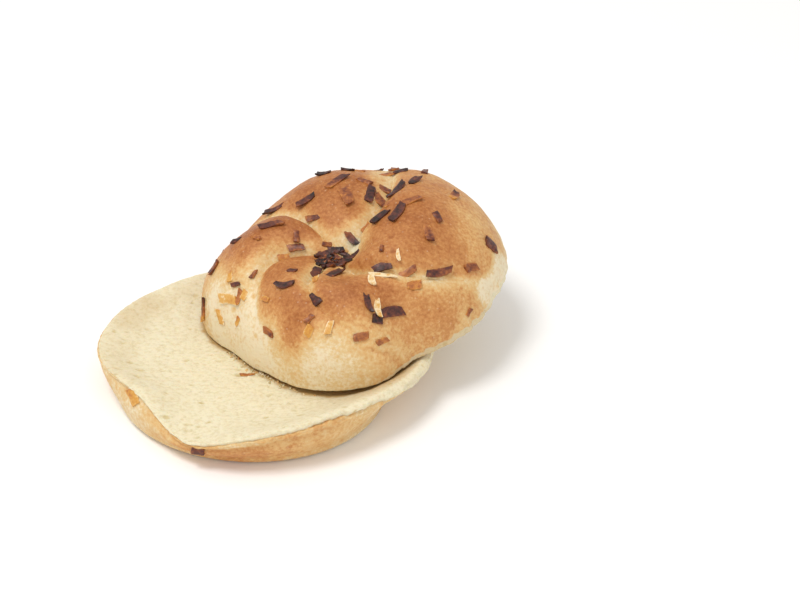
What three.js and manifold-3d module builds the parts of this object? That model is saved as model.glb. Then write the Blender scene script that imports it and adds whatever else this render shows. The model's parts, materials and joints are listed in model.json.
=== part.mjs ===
// Onion roll cut through and laid open: a dished heel, cut side up, with the domed crown leaning on it.
// Millimetres, +Z up. Origin: middle of the heel's flat underside.
import * as THREE from "three";
import Module from "manifold-3d";

const wasm = await Module();
wasm.setup();

const rad = THREE.MathUtils.degToRad;
const turn = 2 * Math.PI;

// Swells are rows of [direction in degrees, half width in degrees, amount].
const heel = {
  radius: 50.5,
  radiusSwell: [[175, 24, 4.4], [150, 24, 3.4], [90, 30, 1.2], [2, 28, 5.2], [-145, 26, -5.6], [-75, 34, -3.2]],
  wobble: { depth: 0.35, count: 5, phase: 1 },
  footRadius: 46.8, // where the rounded foot meets the wall
  footSwell: [[180, 50, 2.4], [0, 42, -4.4], [-90, 50, -2.8], [60, 40, -2]],
  foot: [4.2, 3.4], // width and height of the rounded foot
  footWay: 0.35, // share of the wall's profile taken by the foot
  belly: 1.8,
  overhang: { to: -8, halfWidth: 40, bend: 1.8 }, // the wall flares late on this side
  rim: 12.8,
  rimSwell: [[42, 70, 6.2], [-55, 42, 4.8], [-118, 17, -4.4], [-150, 25, 2.4]],
  rimDrop: 0.8,
  rimOut: 0.45,
  rimWidth: 1.4,
  lip: 0.5, // pale torn band hanging from the rim over the crust
  lipSwell: [[-50, 50, 2.6], [-5, 25, 1], [60, 50, 1.2]],
  lipOut: 0.35, // how far the band stands out, per mm of its height
  floor: 10.4, // height of the dished cut face
  floorWave: 0.3,
  dish: 9, // width of the slope from the rim down to the floor
  columns: 64,
};

const crown = {
  radius: 51,
  shift: 7, // the pinch sits this far off the middle
  shiftTo: 72,
  radiusSwell: [
    [10, 18, 1.5], [20, 26, 1.2], [32, 14, 1.6], [62, 26, 4.6], [74, 13, -1.8], [95, 30, 1.5], [132, 24, -4.6],
    [178, 36, 1.8], [205, 14, -3], [228, 42, -4.6], [285, 30, -2.4], [310, 15, -2.4], [-36, 30, -5.6],
  ],
  height: 30,
  fullness: 2.6, // higher is flatter on top and steeper at the edge
  fullnessSwell: [[225, 75, 0.9], [66, 42, 1.9]],
  edgeBend: 1.9,
  ring: 3.4, // the lobes' backs stand this much over a plain dome
  ringAt: 0.5,
  ringWidth: 0.22,
  dents: [[0, 0, 9, 6], [-14, -6, 11, 5], [5, -14, 10, 6], [7, 2, 6, 4]], // the pinch: x, y, radius, depth
  groove: 6.5, // depth
  grooveRound: [0.45, 0.45], // how round a lobe's back is, at the pinch and added by the rim
  grooveStart: 0.35,
  grooveFade: { from: 0.45, amount: 0.72 },
  notch: 1.6, // dent in the outline where a groove runs out
  notchWidth: 12,
  bulge: 2.6, // the cut face swells downward
  bulgeBend: 2.2,
  bevel: 0.8,
  pinch: [27.5, 17.6, 18.85],
  roll: 8.2, // right side up
  pitch: 6.5, // back up
  lobeColumns: 16,
  rows: 24,
};

// Each groove leaves the pinch at one angle and reaches the rim at another, counterclockwise. Its depth is
// a share of the crown's groove depth.
const grooves = [
  { start: -126, end: -55, bend: 2.4, depth: 0.6 },
  { start: -52, end: -3, bend: 1.8, depth: 0.9 },
  { start: 36, end: 78, bend: 1.2, depth: 1 },
  { start: 112, end: 150, bend: 1.1, depth: 0.75 },
  { start: 163, end: 229, bend: 1.2, depth: 0.7 },
];

// The larger onion flakes: angle about the pinch, share of the way to the rim, heading, length, width.
const leadFlakes = [
  [20, 0.405, 63, 9, 3.4], [44, 0.24, 60, 4.5, 2.4], [26, 0.305, 38, 7, 2.6], [27, 0.495, 30, 8.5, 2.8],
  [31.5, 0.78, 65, 5.4, 3], [12.5, 0.63, -64, 4.6, 2.4], [0, 0.61, 105, 6.8, 3], [10, 0.925, -8, 5.4, 4],
  [331.5, 0.63, 32, 6.4, 2.8], [342, 0.765, 14, 9, 2.8], [354.5, 0.885, 15, 5.4, 3],
  [324.5, 0.485, 6, 6.4, 2.8], [46, 0.505, 53, 9.5, 2.8], [45, 0.635, 62, 5.5, 2.6],
  [53.5, 0.425, -50, 7.5, 3], [61, 0.415, 80, 7.5, 3.2], [57.5, 0.515, -25, 4.8, 2.6],
  [69.5, 0.505, -35, 5.4, 2.4], [76, 0.35, -75, 8, 4], [87, 0.475, 46, 9, 3.2], [113, 0.425, 24, 7.2, 2.4],
  [115, 0.3, 2, 5, 2.4], [129.5, 0.66, 0, 7.6, 2.2], [154.5, 0.455, 12, 8, 2.6], [155, 0.27, 90, 4.5, 2.4],
  [167, 0.255, 0, 5.5, 3], [174, 0.83, 20, 5.4, 2.2], [183, 0.972, 204, 8.4, 1.8],
  [195.6, 0.947, 236, 5, 2.6], [196.4, 0.86, 344, 8, 3.6], [201, 0.817, 232, 4.8, 1.8],
  [230, 0.615, -17, 7, 2.6], [230, 0.9, -55, 4.2, 2.4], [231, 0.261, 68, 5, 3.2],
  [257.5, 0.615, -60, 5.2, 3.2], [256, 0.835, 60, 3.8, 2.8], [267.5, 0.81, 75, 4.5, 2.4],
  [271, 0.282, 52, 7.8, 2.8], [283.5, 0.865, 15, 5, 2.6], [293.5, 0.92, 18, 4.5, 2],
  [293.6, 0.73, 288, 6.6, 2.2], [298, 0.778, 288, 6.5, 2.2], [305.5, 0.845, 4, 7.8, 3.6],
  [316.4, 0.589, -12, 9.4, 1.8], [305.6, 0.597, 284, 4.4, 2.2], [326, 0.745, 10, 4.8, 3.4],
  [48, 0.14, 304, 6, 2.4], [1.5, 0.118, 212, 6, 1.8], [61.5, 0.745, -5, 4.8, 2.2], [66, 0.7, 35, 5, 2.4],
  [84, 0.68, -10, 4.8, 1.8], [78.5, 0.69, -10, 4, 2.2], [165, 0.67, -10, 4, 2], [195.6, 0.767, -4, 3.4, 1.6],
  [189.4, 0.757, 80, 3.4, 2], [178.5, 0.345, 0, 3.8, 2.2], [220, 0.435, -20, 3, 2], [295, 0.83, -20, 3.6, 3],
  [206.5, 0.926, 36, 3.2, 1.8], [37, 0.4, 40, 4.5, 2], [256, 0.77, 40, 3.4, 2], [336, 0.405, 80, 2.6, 1.6],
  [335, 0.54, 100, 4.2, 1.4], [196, 0.628, 60, 3.2, 1.4], [119, 0.1, 10, 3.4, 2], [203, 0.79, 50, 3, 2.4],
  [339, 0.98, 100, 3.2, 1.8], [96, 0.63, -15, 5, 2.2],
];

const flakeRule = {
  seed: 71,
  thickness: 1.1,
  sink: 0.4, // share of the thickness below the crust
  curl: 0.018, // rise of the ends, mm per mm squared
  taper: [0.55, 1, 0.7], // width at the start, the middle and the end
  slimmest: 0.55, // most width per length
  front: { count: 3, angle: [170, 400], share: [0.3, 0.9], length: [2.2, 3.4] },
  brow: { count: 4, angle: [50, 98], share: [0.8, 0.92], length: [3.5, 7] },
  back: { count: 13, angle: [66, 158], share: [0.94, 0.99], length: [3.5, 8] },
  width: [1.8, 2.8],
  spacing: 5.5,
  knot: { count: 9, radius: 4.6, spread: [0.35, 1.1], length: [4, 6.5], width: [1.4, 2.2] }, // in the pinch
};

// Flakes stuck to the heel: angle, way along its profile, heading, length, width.
const heelFlakes = [[-117, 1.86, 8, 4.6, 2.6], [-150, 2, 80, 4.4, 3]];

const crumbFinish = new THREE.MeshStandardMaterial({ color: "#efe0ba", roughness: 0.9, metalness: 0 });
const crustFinish = new THREE.MeshStandardMaterial({ color: "#cc9258", roughness: 0.6, metalness: 0 });

function near(angle, direction, halfWidth) {
  const off = angle - rad(direction);
  const wrapped = off - turn * Math.round(off / turn);
  return Math.exp(-((wrapped / rad(halfWidth)) ** 2));
}

function swell(rows, angle) {
  const parts = rows.map(([direction, halfWidth, amount]) => amount * near(angle, direction, halfWidth));
  return parts.reduce((sum, part) => sum + part, 0);
}

function polar(radius, angle, z) {
  return new THREE.Vector3(radius * Math.cos(angle), radius * Math.sin(angle), z);
}

// Way along the heel's profile: 0 to 1 underside, 2 foot and wall, 3 lip and rim, 4 cut face to the middle.
function heelPoint(angle, way) {
  const { wobble, footWay, overhang } = heel;
  const [footWidth, footHeight] = heel.foot;
  const foot = heel.footRadius + swell(heel.footSwell, angle);
  const wave = wobble.depth * Math.cos(wobble.count * angle + wobble.phase);
  const wall = heel.radius + swell(heel.radiusSwell, angle) + wave;
  const rim = heel.rim + swell(heel.rimSwell, angle);
  const lip = heel.lip + swell(heel.lipSwell, angle);
  const wallTop = rim - heel.rimDrop - lip;
  if (way <= 1) return polar((foot - footWidth) * way, angle, 0);
  if (way <= 1 + footWay) {
    const arc = ((way - 1) / footWay) * (Math.PI / 2);
    return polar(foot - footWidth * (1 - Math.sin(arc)), angle, footHeight * (1 - Math.cos(arc)));
  }
  if (way <= 2) {
    const up = (way - 1 - footWay) / (1 - footWay);
    const flare = up ** (1 + overhang.bend * near(angle, overhang.to, overhang.halfWidth));
    const belly = heel.belly * Math.sin(Math.PI * up) * (0.6 + 0.4 * up);
    return polar(foot + (wall - foot) * flare + belly, angle, footHeight + (wallTop - footHeight) * up);
  }
  if (way <= 3) {
    const over = way - 2;
    const out = (heel.rimOut + heel.lipOut * lip) * Math.max(Math.sin(over * Math.PI), 0) ** 0.8;
    const rise = 0.5 - 0.5 * Math.cos(over * Math.PI);
    return polar(wall + out - heel.rimWidth * over * over, angle, wallTop + (rim - wallTop) * rise);
  }
  const edge = wall - heel.rimWidth;
  const radius = edge * (4 - way);
  const floor = heel.floor + heel.floorWave * Math.cos(2 * angle + 1) * (radius / heel.radius) ** 2;
  const slope = Math.exp(-(((edge - radius) / heel.dish) ** 1.5));
  return polar(radius, angle, floor + (rim - floor) * slope);
}

function grooveAngle(index, share) {
  const { start, end, bend } = grooves[index];
  return rad(start) + rad((end - start + 360) % 360) * share ** bend;
}

// Angle of a column that keeps its place between two grooves as they turn outward.
function lobeAngle(index, across, share) {
  const from = grooveAngle(index, share);
  const to = grooveAngle((index + 1) % grooves.length, share);
  return from + across * ((to - from + 2 * turn) % turn);
}

function lobeAt(angle, share) {
  const past = grooves.map((_, index) => (angle - grooveAngle(index, share) + 2 * turn) % turn);
  const before = Math.min(...past);
  const after = turn - Math.max(...past);
  return { index: past.indexOf(before), across: before / (before + after) };
}

function crownRadius(angle) {
  const shifted = crown.radius + crown.shift * Math.cos(angle - rad(crown.shiftTo));
  const notches = grooves.map((groove) => [groove.end, crown.notchWidth, -crown.notch]);
  return shifted + swell(crown.radiusSwell, angle) + swell(notches, angle);
}

function crownTop(angle, share, { index, across } = lobeAt(angle, share)) {
  const radius = crownRadius(angle) * share;
  const fullness = crown.fullness + swell(crown.fullnessSwell, angle);
  const dome = crown.height * Math.max(1 - share ** fullness, 0) ** (1 / crown.edgeBend);
  const ring = crown.ring * Math.exp(-(((share - crown.ringAt) / crown.ringWidth) ** 2));
  const flat = polar(radius, angle, 0);
  const dents = crown.dents.map(([x, y, wide, deep]) => {
    return deep * Math.exp(-((flat.x - x) ** 2 + (flat.y - y) ** 2) / wide ** 2);
  });
  const pit = dents.reduce((sum, part) => sum + part, 0);
  const [round, rounder] = crown.grooveRound;
  const dent = 1 - Math.max(4 * across * (1 - across), 0) ** (round + rounder * share);
  const start = THREE.MathUtils.smoothstep(share, 0, crown.grooveStart);
  const fade = 1 - crown.grooveFade.amount * THREE.MathUtils.smoothstep(share, crown.grooveFade.from, 1);
  const { depth } = grooves[across < 0.5 ? index : (index + 1) % grooves.length];
  const valley = crown.groove * depth * start * fade * Math.max(1 - share ** 8, 0) * dent;
  return polar(radius, angle, dome + ring - pit - valley);
}

function crownUnder(angle, share) {
  const radius = (crownRadius(angle) - crown.bevel) * share;
  return polar(radius, angle, -crown.bulge * (1 - share ** crown.bulgeBend));
}

// Closed skin over rows of points that run counterclockwise, from a bottom pole to a top pole.
function skin(bottom, rows, top) {
  const points = [bottom, ...rows.flat(), top];
  const count = rows[0].length;
  const last = points.length - 1;
  const at = (row, column) => 1 + row * count + (column % count);
  const triangles = [];
  for (let column = 0; column < count; column++) {
    triangles.push(0, at(0, column + 1), at(0, column));
    for (let row = 0; row < rows.length - 1; row++) {
      triangles.push(at(row, column), at(row, column + 1), at(row + 1, column));
      triangles.push(at(row, column + 1), at(row + 1, column + 1), at(row + 1, column));
    }
    triangles.push(at(rows.length - 1, column), at(rows.length - 1, column + 1), last);
  }
  return solid(points, triangles);
}

function solid(points, triangles) {
  const vertProperties = new Float32Array(points.flatMap((point) => point.toArray()));
  return new wasm.Manifold(new wasm.Mesh({ numProp: 3, vertProperties, triVerts: new Uint32Array(triangles) }));
}

function heelBody() {
  const ways = [0.5, 0.85, 1, 1.12, 1.24, 1.35, 1.57, 1.79, 2, 2.2, 2.4, 2.6, 2.8, 3];
  const faceWays = [3.04, 3.09, 3.14, 3.2, 3.28, 3.4, 3.6, 3.8];
  const angles = Array.from({ length: heel.columns }, (_, column) => (column * turn) / heel.columns);
  const rows = [...ways, ...faceWays].map((way) => angles.map((angle) => heelPoint(angle, way)));
  return skin(heelPoint(0, 0), rows, heelPoint(0, 4));
}

function crownBody() {
  const columns = grooves.flatMap((_, index) =>
    Array.from({ length: crown.lobeColumns }, (_, column) => {
      const even = column / crown.lobeColumns;
      return { index, across: 0.4 * even + 0.3 * (1 - Math.cos(Math.PI * even)) };
    }),
  );
  const under = [0.25, 0.5, 0.7, 0.85, 0.95, 1].map((share) =>
    columns.map(({ index, across }) => crownUnder(lobeAngle(index, across, 1), share)),
  );
  const over = Array.from({ length: crown.rows }, (_, row) => {
    const share = Math.cos((row / crown.rows) * (Math.PI / 2));
    return columns.map((place) => crownTop(lobeAngle(place.index, place.across, share), share, place));
  });
  return skin(crownUnder(0, 0), [...under, ...over], crownTop(0, 0, { index: 0, across: 0.5 }));
}

// Thin strip bent along its length, tapered at both ends and partly sunk in the surface.
function flake(at, out, heading, length, width) {
  const flat = new THREE.Vector3(Math.cos(rad(heading)), Math.sin(rad(heading)), 0);
  const along = flat.addScaledVector(out, -flat.dot(out)).normalize();
  const side = new THREE.Vector3().crossVectors(out, along);
  const low = -flakeRule.thickness * flakeRule.sink;
  const points = [];
  for (const [station, spread] of flakeRule.taper.entries()) {
    const place = (station - 1) / 2;
    const rise = low + flakeRule.curl * (place * length) ** 2;
    for (const [half, up] of [[-0.5, 0], [0.5, 0], [0.5, 1], [-0.5, 1]]) {
      const point = at.clone().addScaledVector(along, place * length);
      point.addScaledVector(side, half * width * spread);
      points.push(point.addScaledVector(out, rise + up * flakeRule.thickness));
    }
  }
  const triangles = [0, 3, 2, 0, 2, 1, 8, 9, 10, 8, 10, 11];
  for (const ring of [0, 4]) {
    for (let corner = 0; corner < 4; corner++) {
      const here = ring + corner;
      const next = ring + ((corner + 1) % 4);
      triangles.push(here, next, next + 4, here, next + 4, here + 4);
    }
  }
  return solid(points, triangles);
}

function surfaceNormal(pointAt, u, v) {
  const step = 0.004;
  const across = pointAt(u + step, v).sub(pointAt(u - step, v));
  const down = pointAt(u, v + step).sub(pointAt(u, v - step));
  return across.cross(down).normalize();
}

function crownFlake([angle, share, heading, length, width]) {
  const out = surfaceNormal((u, v) => crownTop(u, v), rad(angle), share).negate();
  return flake(crownTop(rad(angle), share), out, heading, length, width);
}

function heelFlake([angle, way, heading, length, width]) {
  return flake(heelPoint(rad(angle), way), surfaceNormal(heelPoint, rad(angle), way), heading, length, width);
}

// Small repeatable random numbers from 0 to 1.
function randomFrom(seed) {
  let state = seed;
  return (low = 0, high = 1) => {
    state = (state * 16807) % 2147483647;
    return low + ((high - low) * state) / 2147483647;
  };
}

function scatteredFlakes() {
  const random = randomFrom(flakeRule.seed);
  const placed = leadFlakes.map(([angle, share]) => crownTop(rad(angle), share));
  const rows = [];
  for (const zone of [flakeRule.front, flakeRule.brow, flakeRule.back]) {
    let left = zone.count;
    for (let attempt = 0; attempt < 4000 && left > 0; attempt++) {
      const angle = random(...zone.angle);
      const share = random(...zone.share);
      const place = crownTop(rad(angle), share);
      if (placed.some((other) => other.distanceTo(place) < flakeRule.spacing)) continue;
      placed.push(place);
      const length = random(...zone.length);
      const width = Math.min(flakeRule.slimmest * length, random(...flakeRule.width));
      rows.push([angle, share, random(0, 180), length, width]);
      left--;
    }
  }
  return rows;
}

function knotFlakes() {
  const random = randomFrom(flakeRule.seed + 1);
  const { count, radius, spread, length, width } = flakeRule.knot;
  return Array.from({ length: count }, (_, index) => {
    const angle = (index * 360) / count + random(-15, 15);
    const share = (radius * random(...spread)) / crownRadius(rad(angle));
    return [angle, share, angle + random(30, 110), random(...length), random(...width)];
  });
}

function mesh(name, body, material) {
  const { vertProperties, triVerts } = body.getMesh();
  const geometry = new THREE.BufferGeometry();
  geometry.setAttribute("position", new THREE.BufferAttribute(vertProperties, 3));
  geometry.setIndex(new THREE.BufferAttribute(triVerts, 1));
  const result = new THREE.Mesh(geometry, material);
  result.name = name;
  return result;
}

const fuse = (body, pieces) => pieces.reduce((whole, piece) => whole.add(piece), body);

const heelMesh = mesh("heel", fuse(heelBody(), heelFlakes.map(heelFlake)), crumbFinish);

const onions = [...leadFlakes, ...scatteredFlakes(), ...knotFlakes()];
const crownMesh = mesh("crown", fuse(crownBody(), onions.map(crownFlake)), crustFinish);
crownMesh.position.set(...crown.pinch);
crownMesh.rotation.set(rad(crown.pitch), -rad(crown.roll), 0);

const group = new THREE.Group();
group.add(heelMesh, crownMesh);

export default group;
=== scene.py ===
import json
import math

import bmesh
import bpy
import numpy as np
from mathutils import Euler, Matrix, Vector
from mathutils.bvhtree import BVHTree

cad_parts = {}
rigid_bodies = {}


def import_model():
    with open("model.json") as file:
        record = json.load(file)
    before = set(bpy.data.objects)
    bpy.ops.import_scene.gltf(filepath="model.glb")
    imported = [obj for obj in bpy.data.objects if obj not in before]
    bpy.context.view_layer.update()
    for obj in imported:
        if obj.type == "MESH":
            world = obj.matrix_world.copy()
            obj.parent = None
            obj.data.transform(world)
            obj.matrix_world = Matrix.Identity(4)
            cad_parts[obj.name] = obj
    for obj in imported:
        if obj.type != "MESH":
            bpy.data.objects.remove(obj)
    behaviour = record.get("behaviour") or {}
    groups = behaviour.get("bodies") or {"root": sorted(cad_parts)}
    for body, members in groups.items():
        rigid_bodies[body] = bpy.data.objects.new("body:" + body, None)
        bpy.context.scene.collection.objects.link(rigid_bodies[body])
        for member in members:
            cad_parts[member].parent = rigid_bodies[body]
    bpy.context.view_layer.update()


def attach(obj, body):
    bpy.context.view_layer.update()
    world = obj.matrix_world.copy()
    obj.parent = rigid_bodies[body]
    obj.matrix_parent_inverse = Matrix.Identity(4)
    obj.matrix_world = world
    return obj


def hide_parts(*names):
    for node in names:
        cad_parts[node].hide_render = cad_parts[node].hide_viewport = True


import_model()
scene = bpy.context.scene
mm = 0.001
turn = 2 * math.pi


# small helpers

def hump(away, width):
    # 1 at a place, falling smoothly to 0 beside it
    return np.exp(-(away / width) ** 2)


def near(angle, direction, halfWidth):
    off = (angle - math.radians(direction) + math.pi) % turn - math.pi
    return hump(off, math.radians(halfWidth))


def swell(rows, angle):
    return sum(amount * near(angle, direction, halfWidth) for direction, halfWidth, amount in rows)


def smoothStep(low, high, value):
    share = np.clip((value - low) / (high - low), 0, 1)
    return share * share * (3 - 2 * share)


def cellValue(cells, seed):
    # one repeatable number from 0 to 1 for every whole-numbered cell
    whole = cells.astype(np.int64)
    mixed = whole[..., 0] * 73856093 ^ whole[..., 1] * 19349663 ^ whole[..., 2] * 83492791 ^ (seed * 7919 + 11)
    mixed = (mixed & 0xFFFFFFFF) * 1274126177 & 0xFFFFFFFF
    mixed = (mixed ^ (mixed >> 15)) * 2246822519 & 0xFFFFFFFF
    return (mixed ^ (mixed >> 13)) / 4294967295.0


def softNoise(points, size, seed):
    # smooth lumps from -1 to 1; size is one number or one for each axis, in mm
    places = points / np.asarray(size, dtype=float)
    cells = np.floor(places)
    part = places - cells
    part = part * part * (3 - 2 * part)
    total = 0
    for corner in np.ndindex(2, 2, 2):
        corner = np.array(corner)
        weight = np.prod(np.where(corner == 1, part, 1 - part), axis=-1)
        total = total + weight * cellValue(cells + corner, seed)
    return 2 * total - 1


def linearColor(hexCode):
    channels = [int(hexCode[i:i + 2], 16) / 255 for i in (1, 3, 5)]
    return [c / 12.92 if c <= 0.04045 else ((c + 0.055) / 1.055) ** 2.4 for c in channels] + [1.0]


def setInputs(tree, node, inputs):
    # inputs by name, or a list in the node's own order; each takes a number or a colour, a node for its
    # first output, or (node, output)
    for name, value in inputs.items() if isinstance(inputs, dict) else enumerate(inputs):
        paired = isinstance(value, tuple) and isinstance(value[0], bpy.types.Node)
        source, output = value if paired else (value, 0)
        if isinstance(source, bpy.types.Node):
            tree.links.new(source.outputs[output], node.inputs[name])
        else:
            node.inputs[name].default_value = value


def addNode(tree, kind, inputs=(), **settings):
    node = tree.nodes.new(kind)
    for name, value in settings.items():
        setattr(node, name, value)
    setInputs(tree, node, inputs)
    return node


def setRamp(node, stops):
    # stops are (place, colour)
    elements = node.color_ramp.elements
    while len(elements) < len(stops):
        elements.new(0.5)
    for element, (place, hexCode) in zip(elements, stops):
        element.position = place
        element.color = linearColor(hexCode)


def startMaterial(name):
    material = bpy.data.materials.new(name)
    material.use_nodes = True
    return material, material.node_tree, material.node_tree.nodes["Principled BSDF"]


def perMetre(sizeInMm):
    return 1000 / sizeInMm


def turnedGrid(rows, bottom, top):
    # closed skin: rows of points run counterclockwise, from a bottom pole to a top pole
    count = rows.shape[1]
    points = np.concatenate([bottom[None], rows.reshape(-1, 3), top[None]])
    here = 1 + np.arange(count)
    after = np.roll(here, -1)
    step = np.arange(rows.shape[0] - 1)[:, None] * count
    quads = np.stack([here + step, after + step, after + step + count, here + step + count], -1).reshape(-1, 4)
    last = len(points) - 1
    low = np.stack([0 * here, after, here], -1)
    high = np.stack([last - 1 - count + here, last - 1 - count + after, 0 * here + last], -1)
    return points, low.tolist() + quads.tolist() + high.tolist()


def makeObject(name, points, faces, marks):
    # points in mm; marks are numbers kept on every point for the node trees and the materials
    mesh = bpy.data.meshes.new(name)
    mesh.from_pydata((points * mm).tolist(), [], faces)
    for markName, values in marks.items():
        values = np.ascontiguousarray(values, dtype=np.float32)
        kind, slot = ("FLOAT_VECTOR", "vector") if values.ndim == 2 else ("FLOAT", "value")
        mesh.attributes.new(markName, kind, "POINT").data.foreach_set(slot, values.ravel())
    if faces:
        mesh.shade_smooth()
    thing = bpy.data.objects.new(name, mesh)
    scene.collection.objects.link(thing)
    return thing


def startTree(name, sockets):
    # a geometry node tree with named inputs; sockets are each input's name and kind
    tree = bpy.data.node_groups.new(name, "GeometryNodeTree")
    for socketName, kind in {"Geometry": "Geometry", **sockets}.items():
        tree.interface.new_socket(socketName, in_out="INPUT", socket_type="NodeSocket" + kind)
    tree.interface.new_socket("Geometry", in_out="OUTPUT", socket_type="NodeSocketGeometry")
    return tree, addNode(tree, "NodeGroupInput")


def endTree(tree, start, shape):
    realized = addNode(tree, "GeometryNodeRealizeInstances", {"Geometry": shape})
    finished = addNode(tree, "GeometryNodeSetMaterial", {"Geometry": realized, "Material": (start, "Finish")})
    addNode(tree, "NodeGroupOutput", {"Geometry": finished})


def runTree(thing, tree, values):
    # runs the tree on the object and leaves a plain mesh piece of the same name
    modifier = thing.modifiers.new("shape", "NODES")
    modifier.node_group = tree
    for socket in tree.interface.items_tree:
        if socket.in_out == "INPUT" and socket.name in values:
            modifier[socket.identifier] = values[socket.name]
    depsgraph = bpy.context.evaluated_depsgraph_get()
    mesh = bpy.data.meshes.new_from_object(thing.evaluated_get(depsgraph))
    name = thing.name
    bpy.data.objects.remove(thing)
    piece = bpy.data.objects.new(name, mesh)
    scene.collection.objects.link(piece)
    return piece


def gridNormals(rows):
    across = np.roll(rows, -1, 1) - np.roll(rows, 1, 1)
    up = np.gradient(rows, axis=0)
    normals = np.cross(across, up)
    return normals / np.maximum(np.linalg.norm(normals, axis=-1, keepdims=True), 1e-9)


def polar(radius, angle, z):
    return np.stack(np.broadcast_arrays(radius * np.cos(angle), radius * np.sin(angle), z), -1)


def alongRim(angle, height=0.0):
    # mm along the rim and up the wall, for noise that runs round a piece
    return np.stack(np.broadcast_arrays(50 * angle, height, 0.0), -1)


def mixedNoise(points, rows):
    # rows are (height, size in mm, seed)
    return sum(height * softNoise(points, size, seed) for height, size, seed in rows)


def facing(angle, row):
    # 1 towards a direction and a lowest share away from it; row is (direction, half width, lowest)
    direction, halfWidth, lowest = row
    return lowest + (1 - lowest) * near(angle, direction, halfWidth)


# camera, light and floor

studio = {
    "lens": 85,
    "sensor": 36,
    "clipStart": 0.05,
    "distance": 0.635,
    "elevation": 34,
    "lookAt": (0.04572, 0.01581, 0.02344),
    "skyStrength": 0.75,
    # place, width and power of each light, and what they point at
    "lights": {"keyLight": ((-0.3, -0.2, 1.05), 0.42, 5.5), "fillLight": ((0.5, -0.9, 0.6), 1.2, 1.3)},
    "lightsAimAt": (0.02, 0.0, 0.0),
    "floorColor": "#fbfaf8",
    "floorRoughness": 0.9,
    "floorSize": 6.0,
    "floorDrop": 0.00005,    # m below the heel, so that floor and crust don't share a plane
}


def aimAt(thing, target):
    away = Vector(target) - thing.location
    thing.rotation_euler = away.to_track_quat("-Z", "Y").to_euler()


def softLight(name, place, size, power):
    light = bpy.data.lights.new(name, "AREA")
    light.shape = "DISK"
    light.size = size
    light.energy = power
    thing = bpy.data.objects.new(name, light)
    thing.location = place
    aimAt(thing, studio["lightsAimAt"])
    scene.collection.objects.link(thing)


def makeStudio():
    tilt = math.radians(studio["elevation"])
    cameraData = bpy.data.cameras.new("camera")
    cameraData.lens = studio["lens"]
    cameraData.sensor_width = studio["sensor"]
    cameraData.clip_start = studio["clipStart"]
    camera = bpy.data.objects.new("camera", cameraData)
    back = Vector((0, -math.cos(tilt), math.sin(tilt)))
    camera.location = Vector(studio["lookAt"]) + studio["distance"] * back
    aimAt(camera, studio["lookAt"])
    scene.collection.objects.link(camera)
    scene.camera = camera

    sky = bpy.data.worlds.new("studioSky")
    sky.use_nodes = True
    background = sky.node_tree.nodes["Background"]
    setInputs(sky.node_tree, background, {"Color": (1, 1, 1, 1), "Strength": studio["skyStrength"]})
    scene.world = sky
    for name, (place, size, power) in studio["lights"].items():
        softLight(name, place, size, power)

    paper, tree, shader = startMaterial("whitePaperSweep")  # matt white card, so the floor fades into plain white
    setInputs(tree, shader, {"Base Color": linearColor(studio["floorColor"]),
                             "Roughness": studio["floorRoughness"], "Specular IOR Level": 0.0})
    half, down = studio["floorSize"] / 2, -studio["floorDrop"]
    corners = [(-half, -half, down), (half, -half, down), (half, half, down), (-half, half, down)]
    mesh = bpy.data.meshes.new("floor")
    mesh.from_pydata(corners, [], [(0, 1, 2, 3)])
    mesh.materials.append(paper)
    floor = bpy.data.objects.new("floor", mesh)
    scene.collection.objects.link(floor)
    scene.view_settings.view_transform = "Standard"


makeStudio()
print("camera, lights and floor are set")


# bread material

bread = {
    "crustStops": [(0.0, "#e9d8b6"), (0.2, "#dec08c"), (0.4, "#d8ac6f"), (0.6, "#c88d52"), (0.8, "#b5743e"),
                   (1.0, "#9e5c2a")],
    "crumbColor": "#e6dbbb",
    # darker crumb for its holes: painted shade
    "crumbPoreShade": "#cdba8a",
    # toasted crumb, and also painted shade on the crumb beside and under the crown
    "crumbToastAndShade": "#bc9860",
    "floury": "#f0e2c6",
    # noises: size in mm, detail, roughness
    "mottle": (7.0, 5, 0.65),    # broad unevenness of the bake
    "speck": (1.1, 3, 0.6),      # the fine blisters of the crust
    "pores": (1.3, 5, 0.75),     # the fine holes of the crumb
    "poreStretch": (0.75, 1, 1),
    "mottleAmount": 0.5,
    "speckAmount": 0.75,
    "edgeAmount": 0.5,           # how ragged the specks make the edge of the crust
    "edgeWidth": (0.3, 0.7),
    "spotSize": 8.0,             # mm between the browner spots
    "fleckSize": 2.4,            # mm between the flour flecks
    # where each shows fully, where it ends, how strong it is
    "spotShade": (0.05, 0.16, 0.22),
    "fleckShade": (0.06, 0.16, 0.2),
    # the pores' share darkens the crumb: painted shade in its holes
    "poreShade": (0.34, 0.54, 0.6),
    "crustRoughness": 0.52,
    "crumbRoughness": 0.9,
    "speckBump": (0.5, 0.00012),    # strength, m
    "poreBump": (0.7, 0.0003),
    # relief of the mesh, in mm
    "furrowSize": (7, 0.9, 4),
    "holeSize": (3.6, 2.2, 3),
    "holeShrink": (1.0, 2.3),    # large holes and small ones
}


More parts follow.
